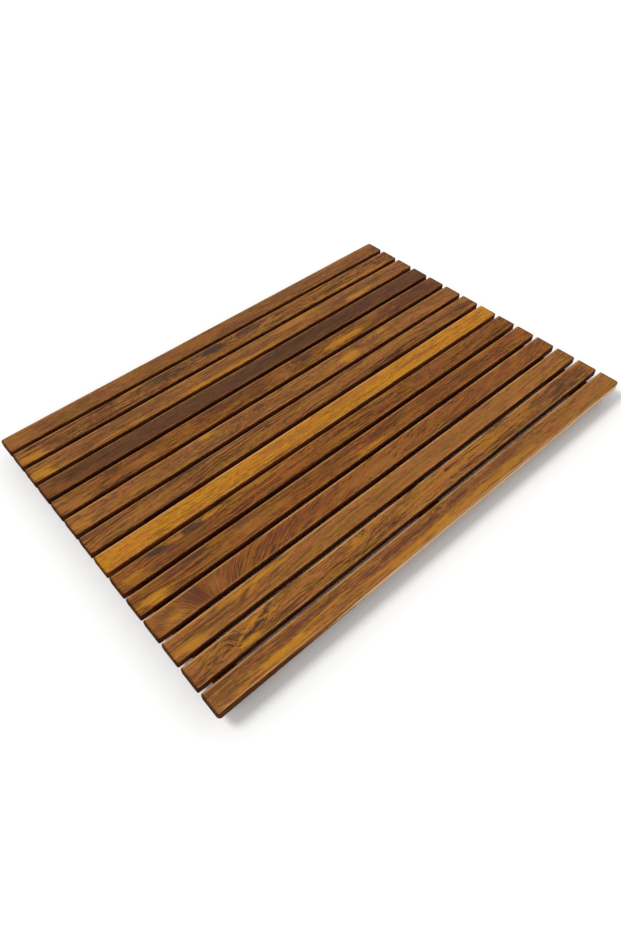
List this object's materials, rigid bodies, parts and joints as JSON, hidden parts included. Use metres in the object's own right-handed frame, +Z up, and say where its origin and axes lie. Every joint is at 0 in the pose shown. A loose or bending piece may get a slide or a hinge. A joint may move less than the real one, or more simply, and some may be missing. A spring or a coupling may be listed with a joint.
{
  "type": "bath mat",
  "caption": "Rectangular wooden bath mat of parallel hardwood slats with open drain gaps, screwed from below to cross battens on round rubber feet.",
  "frame": {"origin": "middle of the mat on the floor, under the middle batten's middle foot", "axes": "+X along the slats, +Y towards the back long side, +Z up"},
  "size_m": [0.7, 0.5, 0.0263],
  "materials": {
    "teak_dark": "satin",
    "teak_brown": "satin",
    "teak_warm": "satin",
    "teak_golden": "satin",
    "batten_teak": "matte",
    "grey_rubber": "matte",
    "stainless_steel": "satin"
  },
  "bodies": {
    "root": {"slat_01": "teak_brown", "slat_02": "teak_brown", "slat_03": "teak_warm", "slat_04": "teak_dark", "slat_05": "teak_brown", "slat_06": "teak_warm", "slat_07": "teak_brown", "slat_08": "teak_golden", "slat_09": "teak_brown", "slat_10": "teak_warm", "slat_11": "teak_warm", "slat_12": "teak_golden", "slat_13": "teak_warm", "slat_14": "teak_warm", "batten_left": "batten_teak", "batten_middle": "batten_teak", "batten_right": "batten_teak", "foot_left_1": "grey_rubber", "foot_left_2": "grey_rubber", "foot_left_3": "grey_rubber", "foot_middle_1": "grey_rubber", "foot_middle_2": "grey_rubber", "foot_middle_3": "grey_rubber", "foot_right_1": "grey_rubber", "foot_right_2": "grey_rubber", "foot_right_3": "grey_rubber", "screw_left_01": "stainless_steel", "screw_left_02": "stainless_steel", "screw_left_03": "stainless_steel", "screw_left_04": "stainless_steel", "screw_left_05": "stainless_steel", "screw_left_06": "stainless_steel", "screw_left_07": "stainless_steel", "screw_left_08": "stainless_steel", "screw_left_09": "stainless_steel", "screw_left_10": "stainless_steel", "screw_left_11": "stainless_steel", "screw_left_12": "stainless_steel", "screw_left_13": "stainless_steel", "screw_left_14": "stainless_steel", "screw_right_01": "stainless_steel", "screw_right_02": "stainless_steel", "screw_right_03": "stainless_steel", "screw_right_04": "stainless_steel", "screw_right_05": "stainless_steel", "screw_right_06": "stainless_steel", "screw_right_07": "stainless_steel", "screw_right_08": "stainless_steel", "screw_right_09": "stainless_steel", "screw_right_10": "stainless_steel", "screw_right_11": "stainless_steel", "screw_right_12": "stainless_steel", "screw_right_13": "stainless_steel", "screw_right_14": "stainless_steel"}
  },
  "joints": []
}
